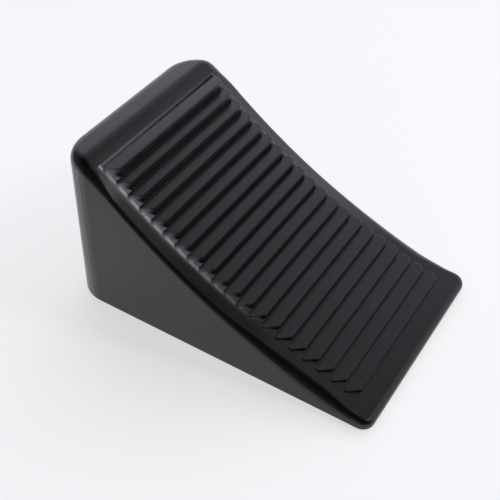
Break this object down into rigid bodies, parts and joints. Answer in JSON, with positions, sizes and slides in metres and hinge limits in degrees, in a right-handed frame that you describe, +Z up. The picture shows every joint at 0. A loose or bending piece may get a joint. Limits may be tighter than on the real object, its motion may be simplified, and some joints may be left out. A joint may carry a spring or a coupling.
{
  "type": "wheel chock",
  "caption": "Hollow moulded wheel chock: a wedge with a curved, stepped ramp that stops a wheel or props a door, open underneath and braced by webs.",
  "frame": {"origin": "middle of the base's bounding box, on the ground", "axes": "+X from the heel (tall end) to the toe (thin end), +Y to the left, +Z up"},
  "size_m": [0.203, 0.1306, 0.1022],
  "materials": {
    "shell": "near-black moulded plastic, semi-gloss, with faint flow marks",
    "tread": "the same plastic, slightly duller with fine scuffs",
    "web": "the same plastic, unpolished inner face"
  },
  "bodies": {
    "root": {"shell": "shell", "tread_01": "tread", "tread_02": "tread", "tread_03": "tread", "tread_04": "tread", "tread_05": "tread", "tread_06": "tread", "tread_07": "tread", "tread_08": "tread", "tread_09": "tread", "tread_10": "tread", "tread_11": "tread", "tread_12": "tread", "tread_13": "tread", "tread_14": "tread", "tread_15": "tread", "tread_16": "tread", "tread_17": "tread", "tread_18": "tread", "tread_19": "tread", "tread_20": "tread", "centre_web": "web", "cross_web_heel_left": "web", "cross_web_heel_right": "web", "cross_web_toe_left": "web", "cross_web_toe_right": "web"}
  },
  "joints": []
}
